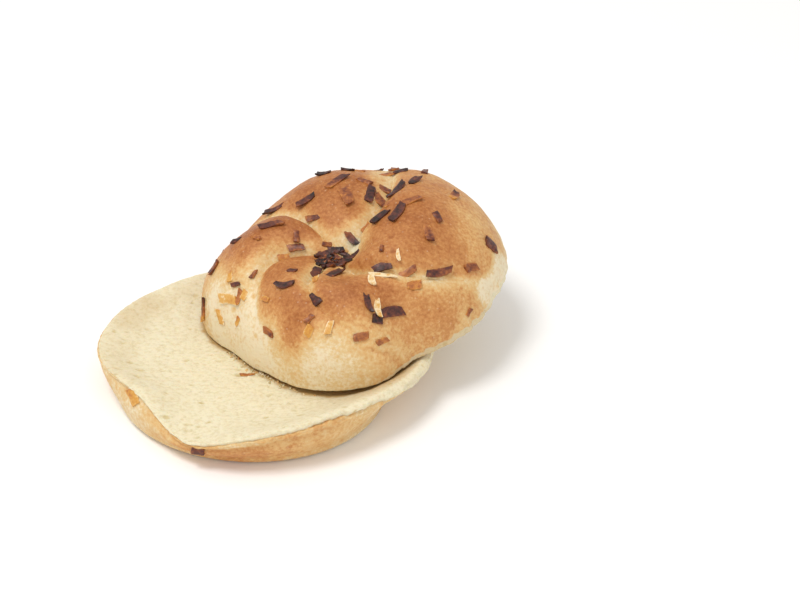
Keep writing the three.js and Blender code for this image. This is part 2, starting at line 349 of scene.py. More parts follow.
def makeBreadMaterial(name, seedShift):
    # Baked wheat dough. Crust is thin and browned with a dull satin sheen; crumb is matt, cream and
    # lets a little light in. "crust" and "bake" on the points say where each shows and how dark it is;
    # on the crumb "bake" also carries painted shade, and the crumb's holes are darkened as painted shade.
    material, tree, shader = startMaterial(name)
    place = addNode(tree, "ShaderNodeTexCoord")
    shifted = addNode(tree, "ShaderNodeMapping", {"Vector": (place, "Object"), "Location": (seedShift, 0, 0)})
    drawn = addNode(tree, "ShaderNodeMapping", {"Vector": shifted, "Scale": bread["poreStretch"]})
    bake, crust, hollow = [(addNode(tree, "ShaderNodeAttribute", attribute_name=mark), "Fac")
                           for mark in ("bake", "crust", "hollow")]
    mottle, speck, pores = [
        addNode(tree, "ShaderNodeTexNoise", {
            "Vector": source, "Scale": perMetre(size), "Detail": detail, "Roughness": roughness})
        for source, (size, detail, roughness) in (
            (shifted, bread["mottle"]), (shifted, bread["speck"]), (drawn, bread["pores"]))]
    spots, flecks = [addNode(tree, "ShaderNodeTexVoronoi", {"Vector": shifted, "Scale": perMetre(bread[size])})
                     for size in ("spotSize", "fleckSize")]
    wide, fine, ragged = [
        addNode(tree, "ShaderNodeMath", [noise, bread[amount], -bread[amount] / 2], operation="MULTIPLY_ADD")
        for noise, amount in ((mottle, "mottleAmount"), (speck, "speckAmount"), (speck, "edgeAmount"))]
    spotShare, fleckShare, poreShadeShare = [
        addNode(tree, "ShaderNodeMapRange", {
            "Value": source, "From Min": full, "From Max": none, "To Min": strength, "To Max": 0.0})
        for source, (full, none, strength) in (
            (spots, bread["spotShade"]), (flecks, bread["fleckShade"]), (pores, bread["poreShade"]))]

    uneven = addNode(tree, "ShaderNodeMath", [wide, fine], operation="ADD")
    browned = addNode(tree, "ShaderNodeMath", [bake, uneven], operation="ADD", use_clamp=True)
    browned = addNode(tree, "ShaderNodeMath", [browned, spotShare], operation="ADD", use_clamp=True)
    baked = addNode(tree, "ShaderNodeValToRGB", {"Fac": browned})
    setRamp(baked, bread["crustStops"])
    crustColor = addNode(tree, "ShaderNodeMix", {
        0: fleckShare, 6: baked, 7: linearColor(bread["floury"])}, data_type="RGBA")
    # painted shade in the crumb's holes, from the pore noise and the depth of the holes
    deep = addNode(tree, "ShaderNodeMath", [poreShadeShare, hollow], operation="ADD", use_clamp=True)
    plain = addNode(tree, "ShaderNodeMix", {
        0: deep, 6: linearColor(bread["crumbColor"]), 7: linearColor(bread["crumbPoreShade"])}, data_type="RGBA")
    # "bake" on the crumb mixes in toasted crumb or painted shade
    crumbColor = addNode(tree, "ShaderNodeMix", {
        0: bake, 6: (plain, 2), 7: linearColor(bread["crumbToastAndShade"])}, data_type="RGBA")
    edge = addNode(tree, "ShaderNodeMath", [crust, ragged], operation="ADD")
    edgeFrom, edgeTo = bread["edgeWidth"]
    crustShare = addNode(tree, "ShaderNodeMapRange", {
        "Value": edge, "From Min": edgeFrom, "From Max": edgeTo}, interpolation_type="SMOOTHSTEP")
    color = addNode(tree, "ShaderNodeMix", {0: crustShare, 6: (crumbColor, 2), 7: (crustColor, 2)}, data_type="RGBA")
    rough = addNode(tree, "ShaderNodeMapRange", {
        "Value": crustShare, "To Min": bread["crumbRoughness"], "To Max": bread["crustRoughness"]})

    strength, distance = bread["speckBump"]
    fineBump = addNode(tree, "ShaderNodeBump", {"Height": speck, "Strength": strength, "Distance": distance})
    strength, distance = bread["poreBump"]
    bump = addNode(tree, "ShaderNodeBump", {
        "Height": pores, "Normal": fineBump, "Strength": strength, "Distance": distance})
    setInputs(tree, shader, {
        "Base Color": (color, 2), "Roughness": rough, "Normal": bump, "Subsurface Weight": 0.15,
        "Subsurface Radius": (1.0, 0.6, 0.3), "Subsurface Scale": 0.002, "Specular IOR Level": 0.3})
    return material


# relief that the baked dough has all over

def makeReliefTree():
    # lumps on crust and crumb, knife furrows and open pores on crumb alone; "relief" says how much
    tree, start = startTree("breadRelief", {
        "Lump size": "Float", "Lump height": "Float", "Furrow size": "Vector", "Furrow height": "Float",
        "Pore size": "Vector", "Pore depth": "Float", "Seed": "Float", "Finish": "Material"})
    position = addNode(tree, "GeometryNodeInputPosition")
    normal = addNode(tree, "GeometryNodeInputNormal")
    relief, crust = [addNode(tree, "GeometryNodeInputNamedAttribute", {"Name": mark}, data_type="FLOAT")
                     for mark in ("relief", "crust")]
    crumb = addNode(tree, "ShaderNodeMath", [1.0, crust], operation="SUBTRACT")
    lumpScale = addNode(tree, "ShaderNodeMath", [1.0, (start, "Lump size")], operation="DIVIDE")
    drawn, cells = [addNode(tree, "ShaderNodeVectorMath", [position, (start, size)], operation="DIVIDE")
                    for size in ("Furrow size", "Pore size")]
    rises = []
    for kind, place, scale, detail in (("Lump", position, lumpScale, 2.5), ("Furrow", drawn, 1.0, 2.0)):
        noise = addNode(tree, "ShaderNodeTexNoise", {
            "Vector": place, "W": (start, "Seed"), "Scale": scale, "Detail": detail}, noise_dimensions="4D")
        centred = addNode(tree, "ShaderNodeMath", [noise, 2.0, -1.0], operation="MULTIPLY_ADD")
        rises.append(addNode(tree, "ShaderNodeMath", [centred, (start, kind + " height")], operation="MULTIPLY"))
    lumpUp, furrowUp = rises

    depth = 0.0
    for shrink in bread["holeShrink"]:
        hole = addNode(tree, "ShaderNodeTexVoronoi", {
            "Vector": cells, "W": (start, "Seed"), "Scale": shrink}, voronoi_dimensions="4D")
        lot = addNode(tree, "ShaderNodeSeparateXYZ", [(hole, "Color")])
        wide = addNode(tree, "ShaderNodeMapRange", {"Value": lot, "From Min": 0.45, "To Min": 0.02, "To Max": 0.5})
        away = addNode(tree, "ShaderNodeMath", [hole, wide], operation="DIVIDE")
        away = addNode(tree, "ShaderNodeMath", [away, away], operation="MULTIPLY")
        deep = addNode(tree, "ShaderNodeMath", [1.0, away], operation="SUBTRACT", use_clamp=True)
        deep = addNode(tree, "ShaderNodeMath", [deep, 1 / shrink ** 0.7], operation="MULTIPLY")
        depth = addNode(tree, "ShaderNodeMath", [depth, deep], operation="MAXIMUM")
    depth = addNode(tree, "ShaderNodeMath", [depth, crumb], operation="MULTIPLY")
    poreDown = addNode(tree, "ShaderNodeMath", [depth, (start, "Pore depth")], operation="MULTIPLY")
    crumbUp = addNode(tree, "ShaderNodeMath", [furrowUp, crumb], operation="MULTIPLY")
    rise = lumpUp
    for operation, other in (("ADD", crumbUp), ("SUBTRACT", poreDown), ("MULTIPLY", relief)):
        rise = addNode(tree, "ShaderNodeMath", [rise, other], operation=operation)
    offset = addNode(tree, "ShaderNodeVectorMath", {0: normal, "Scale": rise}, operation="SCALE")
    # keeps the depth of the holes, which the crumb's colour darkens as painted shade
    kept = addNode(tree, "GeometryNodeStoreNamedAttribute", {
        "Geometry": start, "Name": "hollow", "Value": depth}, data_type="FLOAT")
    moved = addNode(tree, "GeometryNodeSetPosition", {"Geometry": kept, "Offset": offset})
    endTree(tree, start, moved)
    return tree


reliefTree = makeReliefTree()


def makeBread(name, rows, poles, marks, settings):
    # a closed piece of bread from rows of points; marks are (on the rows, at the bottom pole, at the top pole)
    points, faces = turnedGrid(rows, *poles)
    marks = {mark: np.concatenate([[low], values.ravel(), [high]]) for mark, (values, low, high) in marks.items()}
    lumpSize, lumpHeight = settings["lumps"]
    finish, seedShift = settings["finish"]
    return runTree(makeObject(name, points, faces, marks), reliefTree, {
        "Lump size": lumpSize * mm, "Lump height": lumpHeight * mm,
        "Furrow size": [size * mm for size in bread["furrowSize"]], "Furrow height": settings["furrowHeight"] * mm,
        "Pore size": [size * mm for size in bread["holeSize"]], "Pore depth": settings["holeDepth"] * mm,
        "Seed": settings["seed"], "Finish": makeBreadMaterial(finish, seedShift)})


# heel: the bottom half, cut side up

heel = {
    # lengths in mm and angles in degrees; a swell's rows are (direction, half width, amount)
    "radius": 50.5,
    "radiusSwell": [(175, 24, 4.4), (150, 24, 3.4), (90, 30, 1.2), (2, 28, 5.2), (-145, 26, -5.6), (-75, 34, -3.2)],
    "wobble": (0.35, 5, 1),    # height, waves round the wall, phase
    "footRadius": 46.8,
    "footSwell": [(180, 50, 2.4), (0, 42, -4.4), (-90, 50, -2.8), (60, 40, -2)],
    "foot": (4.2, 3.4),        # width and height of the rounded foot
    "footWay": 0.35,           # share of the wall's way that it takes
    "belly": 1.8,
    "overhang": (-8, 40, 1.8),    # where the wall leans out most: direction, half width, bend
    "rim": 12.8,
    "rimSwell": [(42, 70, 6.2), (-55, 42, 4.8), (-118, 17, -4.4), (-150, 25, 2.4)],
    "rimDrop": 0.8,
    "rimOut": 0.45,
    "rimWidth": 1.4,
    "lip": 0.5,
    "lipSwell": [(-50, 50, 2.6), (-5, 25, 1), (60, 50, 1.2)],
    "lipOut": 0.35,
    "floor": 10.4,
    "floorWave": 0.3,
    "dish": 9,                 # how far in from the rim the cut face slopes down
    "columns": 560,
    "rowCounts": (10, 9, 15, 22, 104),    # underside, foot, wall, lip, cut face
    "lumps": (6, 0.5),         # mm, size and height of the unevenness of the cut face
    "furrowHeight": 0.14,      # mm, furrows left by the knife
    "holeDepth": 0.55,         # mm, deepest holes of the crumb
    "seed": 4.0,
    "finish": ("bakedWheatBreadHeel", 0.0),
    # folds of the torn lip and where they are strongest
    "folds": [(0.3, (4, 1.1, 1), 8), (0.2, (1.2, 0.7, 1), 9)],
    "foldsFront": (-60, 60, 0.4),
    "skinWay": 2.62,           # where the crust ends below the torn edge
    "skinNoise": [(0.07, 4, 15), (0.04, 1.3, 16)],
    "bare": [(-8, 26, 0.75), (-140, 26, 0.36)],    # where the crust ends lower
    # under the torn edge: mm deep, width as a way; share, way up and width of the swelling above it
    "crease": (0.9, 0.07, 0.5, 0.2, 0.12),
    "creaseFront": (-65, 55, 0.25),
    "secondCrease": (1.9, 0.05, 0.3),    # way, width, mm deep
    "secondFront": (-97, 13),
    "secondPale": 0.4,
    "bake": 0.36,
    "bakeSwell": [(-94, 36, 0.26), (-40, 30, -0.12), (-150, 25, -0.2)],
    "bakeNoise": [(0.1, 8, 14), (0.08, 2.5, 17)],
    "footPale": 0.12,
    # toasted cut face at the back left rim; painted shade at the right rim, where the crown's shadow falls into the
    # bowl, and in a band along the crown's rim
    "backTan": (160, 45),
    "backTanAmount": 0.15,
    "backTanNoise": [(0.22, 6, 18)],
    "rightBowlShade": [(-14, 25, 0.9)],
    "crownEdgeShadeNoise": [(0.9, 1.6, 44)],
    "smoothFront": (-55, 45),    # where the lip is smooth
}


def heelPoint(angle, way):
    # way along the profile: 0 to 1 underside, 2 foot and wall, 3 lip and rim, 4 cut face to the middle
    depth, count, phase = heel["wobble"]
    footWidth, footHeight = heel["foot"]
    foot = heel["footRadius"] + swell(heel["footSwell"], angle)
    wall = heel["radius"] + swell(heel["radiusSwell"], angle) + depth * np.cos(count * angle + phase)
    rim = heel["rim"] + swell(heel["rimSwell"], angle)
    lip = heel["lip"] + swell(heel["lipSwell"], angle)
    wallTop = rim - heel["rimDrop"] - lip
    arc = np.clip((way - 1) / heel["footWay"], 0, 1) * math.pi / 2
    up = np.clip((way - 1 - heel["footWay"]) / (1 - heel["footWay"]), 0, 1)
    toward, halfWidth, bend = heel["overhang"]
    flare = up ** (1 + bend * near(angle, toward, halfWidth))
    belly = heel["belly"] * np.sin(math.pi * up) * (0.6 + 0.4 * up)
    over = np.clip(way - 2, 0, 1)
    out = (heel["rimOut"] + heel["lipOut"] * lip) * np.maximum(np.sin(over * math.pi), 0) ** 0.8
    edge = wall - heel["rimWidth"]
    radius = edge * (4 - np.maximum(way, 3))
    floor = heel["floor"] + heel["floorWave"] * np.cos(2 * angle + 1) * (radius / heel["radius"]) ** 2
    slope = np.exp(-(((edge - radius) / heel["dish"]) ** 1.5))
    parts = [way <= 1, way <= 1 + heel["footWay"], way <= 2, way <= 3]
    radii = [(foot - footWidth) * way, foot - footWidth * (1 - np.sin(arc)), foot + (wall - foot) * flare + belly,
             wall + out - heel["rimWidth"] * over ** 2]
    heights = [0 * angle, footHeight * (1 - np.cos(arc)), footHeight + (wallTop - footHeight) * up,
               wallTop + (rim - wallTop) * (0.5 - 0.5 * np.cos(over * math.pi))]
    return polar(np.select(parts, radii, radius), angle, np.select(parts, heights, floor + (rim - floor) * slope))


def outsideCrown(points):
    # mm outside the crown's rim, seen from above; the crumb is painted with shade along that rim
    away = points - np.array(crown["pinch"])
    return np.hypot(away[..., 0], away[..., 1]) - crownRadius(angleAt(away))


def makeHeel():
    underside, foot, wall, lip, face = heel["rowCounts"]
    footWay = heel["footWay"]
    ways = np.concatenate([
        np.linspace(0.08, 1, underside), 1 + footWay * np.linspace(0.12, 1, foot),
        1 + footWay + (1 - footWay) * np.linspace(0.07, 1, wall), 2 + np.linspace(0.05, 1, lip),
        3 + np.linspace(0.004, 0.985, face) ** 1.12])
    angle, way = np.meshgrid(np.arange(heel["columns"]) * turn / heel["columns"], ways)
    rows = heelPoint(angle, way)
    lipZone = smoothStep(1.8, 2.1, way) * smoothStep(3.1, 2.7, way)
    offset = lipZone * mixedNoise(alongRim(angle, 10 * way), heel["folds"]) * facing(angle, heel["foldsFront"])
    skinWay = heel["skinWay"] - swell(heel["bare"], angle) + mixedNoise(alongRim(angle), heel["skinNoise"])
    depth, width, swellShare, swellUp, swellWidth = heel["crease"]
    crease = hump(way - skinWay, width)
    swelling = hump(way - skinWay - swellUp, swellWidth)
    offset = offset - depth * facing(angle, heel["creaseFront"]) * (crease - swellShare * swelling)
    secondWay, width, depth = heel["secondCrease"]
    second = near(angle, *heel["secondFront"])
    offset = offset - depth * second * hump(way - secondWay, width)
    rows = rows + gridNormals(rows) * offset[..., None]

    skin = smoothStep(skinWay + 0.06, skinWay - 0.04, way)
    bake = heel["bake"] + swell(heel["bakeSwell"], angle) + mixedNoise(rows, heel["bakeNoise"])
    bake = bake - heel["secondPale"] * second * smoothStep(secondWay, secondWay + 0.08, way)
    bake = bake - heel["footPale"] * smoothStep(1.5, 1.2, way)
    tanAndShade = near(angle, *heel["backTan"]) * smoothStep(3.3, 3.05, way)
    tanAndShade = tanAndShade * (heel["backTanAmount"] + mixedNoise(rows, heel["backTanNoise"]))
    # painted shade: the crown's shadow on the inside of the right rim
    tanAndShade = tanAndShade + swell(heel["rightBowlShade"], angle) * smoothStep(2.9, 3.1, way)
    # painted shade: a dark band on the crumb along the crown's rim
    besideCrownShade = smoothStep(1, -1, outsideCrown(rows) + mixedNoise(rows, heel["crownEdgeShadeNoise"]))
    tanAndShade = tanAndShade + besideCrownShade * smoothStep(3, 3.1, way)
    bake = np.where(way < skinWay, np.maximum(bake, 0.02), np.clip(tanAndShade, 0, 1))
    smoothLip = near(angle, *heel["smoothFront"]) * smoothStep(3.45, 3.15, way)
    relief = smoothStep(1.02, 1.3, way) * (0.4 + 0.6 * smoothStep(2.6, 3.02, way)) * (1 - 0.75 * smoothLip)
    poles = np.zeros(3), heelPoint(np.array(0.0), np.array(4.0))
    piece = makeBread("heelBread", rows, poles, {
        "crust": (skin, 1, 0), "bake": (bake, 0.6, 0), "relief": (relief, 0, 1)}, heel)
    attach(piece, "root")
    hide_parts("heel")
    return piece


# crown: the domed top half with its spiral lobes

crown = {
    "radius": 51,
    "shift": 7,
    "shiftTo": 72,
    "radiusSwell": [
        (10, 18, 1.5), (20, 26, 1.2), (32, 14, 1.6), (62, 26, 4.6), (74, 13, -1.8), (95, 30, 1.5), (132, 24, -4.6),
        (178, 36, 1.8), (205, 14, -3), (228, 42, -4.6), (285, 30, -2.4), (310, 15, -2.4), (-36, 30, -5.6),
    ],
    "height": 30,
    "fullness": 2.6,
    "fullnessSwell": [(225, 75, 0.9), (66, 42, 1.9)],
    "edgeBend": 1.9,
    "ring": 3.4,
    "ringAt": 0.5,
    "ringWidth": 0.22,
    # the hollow round the pinch: x and y from it, radius, depth
    "dents": [(0, 0, 9, 6), (-14, -6, 11, 5), (5, -14, 10, 6), (7, 2, 6, 4)],
    "groove": 6.5,
    "grooveShare": [0.6, 0.9, 1, 0.75, 0.7],    # how deep each groove is, as a share of that
    # how steeply a lobe's back drops into the groove before it and into the one after it; a lobe that
    # lies over its neighbour is steep, one that slides under is gentle (lobes run B, A, E, D, C)
    "steepness": [(4.2, 2.6), (5.0, 5.0), (2.6, 3.0), (3.4, 2.5), (4.6, 2.6)],
    "grooveStart": 0.35,
    "grooveFade": (0.45, 0.72),    # share where the grooves start to fade, and by how much
    "notch": 1.6,
    "notchWidth": 12,
    "bulge": 2.6,
    "bulgeBend": 2.2,
    "bevel": 0.8,
    "pinch": (27.5, 17.6, 18.85),    # where the crown's middle rests, and how it leans
    "roll": 8.2,
    "pitch": 6.5,
    # each groove's direction at the pinch and at the rim, and how late it turns
    "grooves": [(-126, -55, 2.4), (-52, -3, 1.8), (36, 78, 1.2), (112, 150, 1.1), (163, 229, 1.2)],
    "lobeColumns": 112,
    "rows": 128,
    "underRows": 28,
    "lumps": (9, 0.7),         # mm, size and height
    "furrowHeight": 0.2,
    "holeDepth": 0.5,
    "seed": 9.0,
    "finish": ("bakedWheatBreadCrown", 3.0),
    # ragged lower edge: noise along the rim, its width as a share of the radius, where it is strongest
    "ragged": [(0.35, 2.6, 36), (0.2, 0.9, 37)],
    "raggedWidth": 0.02,
    "raggedFront": (-20, 45, 0.25),
    # a crack near the rim: its corners, then half width, depth and how much darker its colour is (painted shade in
    # the crack)
    "crack": [(11.6, -36.4), (14.2, -35.9), (16.6, -34.6), (19.2, -33.4)],
    "crackSize": (0.45, 0.49, 0.1),
    # up to what height, in mm, the lower edge is bare dough
    "bare": -0.6,
    "bareSwell": [(-34, 27, 2.3), (5, 25, 1.4)],
    "bareNoise": [(0.6, 1.7, 39)],
    "bareSpot": (6.2, 4.6, 2.6),    # bare dough beside the pinch: x, y, size
    "bareSpotNoise": [(0.4, 1.5, 43)],
    # mm of pale dough beside the grooves, before and after each lobe, at the pinch and at the rim
    "paleBefore": [(3.6, 0.8), (0.8, 1.2), (4.0, 4.0), (1.0, 1.0), (0.5, 1.6)],
    "paleAfter": [(5.5, 2.8), (1.0, 2.0), (3.0, 2.0), (5.0, 5.5), (4.5, 1.8)],
    "paleStrength": 0.75,
    "paleEnd": [0.12, 0.6, 1, 1, 1],    # what is left of that towards the rim, by groove
    "paleEndFrom": (0.45, 0.7),
    "wavy": (7, 21),           # mm and seed of the noise that makes the pale bands uneven
    "wavyBands": 0.3,
    "bakeLow": 0.02,
    "bakeOfLobe": [0.78, 0.68, 0.79, 0.86, 0.82],
    "lowPale": 0.16,           # how much paler the crust gets low down
    "lowPaleSwell": [(-106, 36, 0.34), (-162, 45, 0.3)],
    "lowPaleFrom": 0.62,
    "rimPale": (4, 30, 0.62, 0.94),    # direction, half width, amount, share where it starts
    "cutSideShade": (0.7, 0.95, 0.9),      # painted shade: the cut side darkens towards its rim, where it shows in the gap above the heel: from, to, amount
    # browner (+) and paler (-) patches: x, y about the pinch, half length, half width, heading, amount
    "patches": [
        (30, 8, 26, 16, 20, 0.06), (8, -23, 16, 7, -10, 0.1), (-20, -18, 9, 8, 60, 0.08),
        (-24, 9, 18, 5, 165, 0.1), (0, 26, 20, 12, 30, 0.08), (4.5, 4.5, 7.5, 5.5, 0, -0.65),
        (-38, -9, 13, 7.5, 115, -0.56), (44, 14, 8, 14, 0, -0.14), (27, -15.5, 12, 3.4, 0, -0.34),
        (15, 36, 4, 10, 0, -0.4), (-1, -38, 22, 7, 4, -0.25), (38, 2, 16, 12, 60, 0.06),
        (-30, -27, 6, 7, 100, -0.14), (-21, -35, 6, 7, 0, -0.24), (38, -19, 9, 6, 25, -0.02),
        (-9, -15, 4, 11, 100, -0.16), (22, 6, 12, 10, 60, 0.14), (-14.5, -31, 6, 5.5, 20, 0.4),
        (46, 6, 5, 10, 10, -0.06), (-21, -19, 6, 7, 80, -0.14), (22, -30, 9, 7, 20, -0.06),
    ],
}


lobeCount = len(crown["grooves"])


def angleAt(points):
    return np.arctan2(points[..., 1], points[..., 0])


def grooveAngle(index, share):
    start, end, bend = crown["grooves"][index]
    return math.radians(start) + math.radians((end - start) % 360) * share ** bend


def lobeAngle(index, across, share):
    # angle of a column that keeps its place between two grooves as they turn outward
    start = grooveAngle(index, share)
    end = grooveAngle((index + 1) % lobeCount, share)
    return start + across * ((end - start) % turn)


def lobeAt(angle, share):
    # which lobe a place is on, and how far across it
    past = np.stack([(angle - grooveAngle(k, share)) % turn for k in range(lobeCount)])
    before = past.min(0)
    return past.argmin(0), before / (before + turn - past.max(0))


def crownRadius(angle):
    notches = [(end, crown["notchWidth"], -crown["notch"]) for start, end, bend in crown["grooves"]]
    shifted = crown["radius"] + crown["shift"] * np.cos(angle - math.radians(crown["shiftTo"]))
    return shifted + swell(crown["radiusSwell"], angle) + swell(notches, angle)


def lobeDent(lobe, across):
    # 0 on a lobe's back, 1 in the groove
    before, after = np.moveaxis(np.array(crown["steepness"])[lobe], -1, 0)
    depth = np.array(crown["grooveShare"])
    depth = np.where(across < 0.5, depth[lobe], np.roll(depth, -1)[lobe])
    return depth * np.abs(2 * across - 1) ** np.where(across < 0.5, before, after)


def crownTop(angle, share, lobe, across):
    radius = crownRadius(angle) * share
    fullness = crown["fullness"] + swell(crown["fullnessSwell"], angle)
    dome = crown["height"] * np.maximum(1 - share ** fullness, 0) ** (1 / crown["edgeBend"])
    ring = crown["ring"] * hump(share - crown["ringAt"], crown["ringWidth"])
    x, y = radius * np.cos(angle), radius * np.sin(angle)
    pit = sum(deep * np.exp(-((x - atX) ** 2 + (y - atY) ** 2) / wide ** 2)
              for atX, atY, wide, deep in crown["dents"])
    fadeFrom, fadeAmount = crown["grooveFade"]
    start = smoothStep(0, crown["grooveStart"], share)
    fade = 1 - fadeAmount * smoothStep(fadeFrom, 1, share)
    valley = crown["groove"] * start * fade * np.maximum(1 - share ** 8, 0) * lobeDent(lobe, across)
    return polar(radius, angle, dome + ring - pit - valley)


def crownUnder(angle, share):
    radius = (crownRadius(angle) - crown["bevel"]) * share
    return polar(radius, angle, -crown["bulge"] * (1 - share ** crown["bulgeBend"]))


def crownTurn():
    # the same turn as the frame's crown: right side up, then back up
    return np.array(Euler((math.radians(crown["pitch"]), -math.radians(crown["roll"]), 0), "YXZ").to_matrix())


def placeCrown(points):
    return points @ crownTurn().T + np.array(crown["pinch"])


def besideGroove(points, share, index, side):
    # mm from a lobe's point to one of its grooves, square to the groove
    radius = np.hypot(points[..., 0], points[..., 1])
    arc = (angleAt(points) - grooveAngle(index, share)) * side % turn * radius
    slant = (grooveAngle(index, share + 0.01) - grooveAngle(index, share - 0.01)) / 0.02 * share
    return arc / np.hypot(1, slant)


def crustBake(points, share, lobe):
    # 0 pale dough to 1 brownest crust
    bake = np.array(crown["bakeOfLobe"])[lobe]
    for x, y, length, width, heading, amount in crown["patches"]:
        along = math.radians(heading)
        dx, dy = points[..., 0] - x, points[..., 1] - y
        u = (dx * math.cos(along) + dy * math.sin(along)) / length
        v = (dy * math.cos(along) - dx * math.sin(along)) / width
        bake = bake + amount * np.exp(-((u * u + v * v) ** 1.2))
    wavy = softNoise(points, *crown["wavy"])
    for index in range(lobeCount):
        for rows, side, mine in ((crown["paleBefore"], 1, index), (crown["paleAfter"], -1, index - 1)):
            inner, outer = rows[mine]
            width = (inner + (outer - inner) * share) * (1 + crown["wavyBands"] * wavy)
            away = besideGroove(points, share, index, side)
            pale = hump(away, width) * smoothStep(0.04, 0.2, share)
            pale = pale * (1 - (1 - crown["paleEnd"][index]) * smoothStep(*crown["paleEndFrom"], share))
            bake = bake - np.where(lobe == mine % lobeCount, crown["paleStrength"] * pale * bake, 0)
    angle = angleAt(points)
    low = smoothStep(crown["lowPaleFrom"], 1, share + 0.06 * wavy)
    bake = bake - low * (crown["lowPale"] + swell(crown["lowPaleSwell"], angle))
    toward, halfWidth, amount, start = crown["rimPale"]
    bake = bake - amount * near(angle, toward, halfWidth) * smoothStep(start, 1, share + 0.03 * wavy)
    return np.maximum(bake, crown["bakeLow"])


def inCrack(points, halfWidth):
    # 1 in the crack to 0 beside it
    away = []
    for start, end in zip(crown["crack"], crown["crack"][1:]):
        start, along = np.array(start), np.array(end) - np.array(start)
        share = np.clip(((points[..., :2] - start) @ along) / (along @ along), 0, 1)
        away.append(np.linalg.norm(points[..., :2] - start - share[..., None] * along, axis=-1))
    return hump(np.min(away, axis=0), halfWidth)


def makeCrown():
    lobe = np.repeat(np.arange(lobeCount), crown["lobeColumns"])
    even = np.arange(crown["lobeColumns"]) / crown["lobeColumns"]
    across = np.tile(0.4 * even + 0.3 * (1 - np.cos(math.pi * even)), lobeCount)
    angleOf = lambda share: np.concatenate([lobeAngle(k, across[lobe == k], share) for k in range(lobeCount)])
    underShares = 1 - (1 - np.linspace(0.04, 1, crown["underRows"])) ** 1.4
    overShares = np.cos(np.arange(crown["rows"]) / crown["rows"] * math.pi / 2)
    rows = np.stack([crownUnder(angleOf(1.0), share) for share in underShares]
                    + [crownTop(angleOf(share), share, lobe, across) for share in overShares])
    share = np.concatenate([underShares, overShares])[:, None] + 0 * across
    top = (np.arange(len(rows)) >= len(underShares))[:, None] + 0 * across
    bake = crustBake(rows, share, lobe)
    angle = angleAt(rows)
    height = rows[..., 2]
    outward = polar(1.0, angle, 0 * angle)
    ragged = facing(angle, crown["raggedFront"]) * mixedNoise(alongRim(angle), crown["ragged"])
    rows = rows + outward * (ragged * hump(1 - share, crown["raggedWidth"]))[..., None]
    # the crack's darker colour is painted shade
    halfWidth, depth, crackShade = crown["crackSize"]
    crack = inCrack(rows, halfWidth) * top
    rows = rows - outward * (depth * crack)[..., None]
    # painted shade on the cut side towards its rim
    shadeFrom, shadeTo, shadeAmount = crown["cutSideShade"]
    bake = np.where(top > 0, bake + crackShade * crack, shadeAmount * smoothStep(shadeFrom, shadeTo, share))

    bare = crown["bare"] + swell(crown["bareSwell"], angle) + mixedNoise(alongRim(angle), crown["bareNoise"])
    skin = top * smoothStep(0, 1.4, height - bare)
    spotX, spotY, spotSize = crown["bareSpot"]
    fromSpot = np.hypot(rows[..., 0] - spotX, rows[..., 1] - spotY) / spotSize
    skin = skin * (1 - 0.9 * smoothStep(1.4, 0.6, fromSpot + mixedNoise(rows, crown["bareSpotNoise"])))
    relief = np.clip((1 - share) * 12, 0, 1) * smoothStep(0, 0.03, share)
    nought = np.array(0.0)
    poles = placeCrown(crownUnder(nought, nought)), placeCrown(crownTop(nought, nought, 0, np.array(0.5)))
    piece = makeBread("crownBread", placeCrown(rows), poles, {
        "crust": (skin, 0, 1), "bake": (bake, 0, 0.5), "relief": (relief, 0, 0)}, crown)
    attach(piece, "root")
    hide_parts("crown")
    return piece


heelPiece = makeHeel()
print("heel is made")
crownPiece = makeCrown()
print("crown is made")


# onion flakes baked on the crust

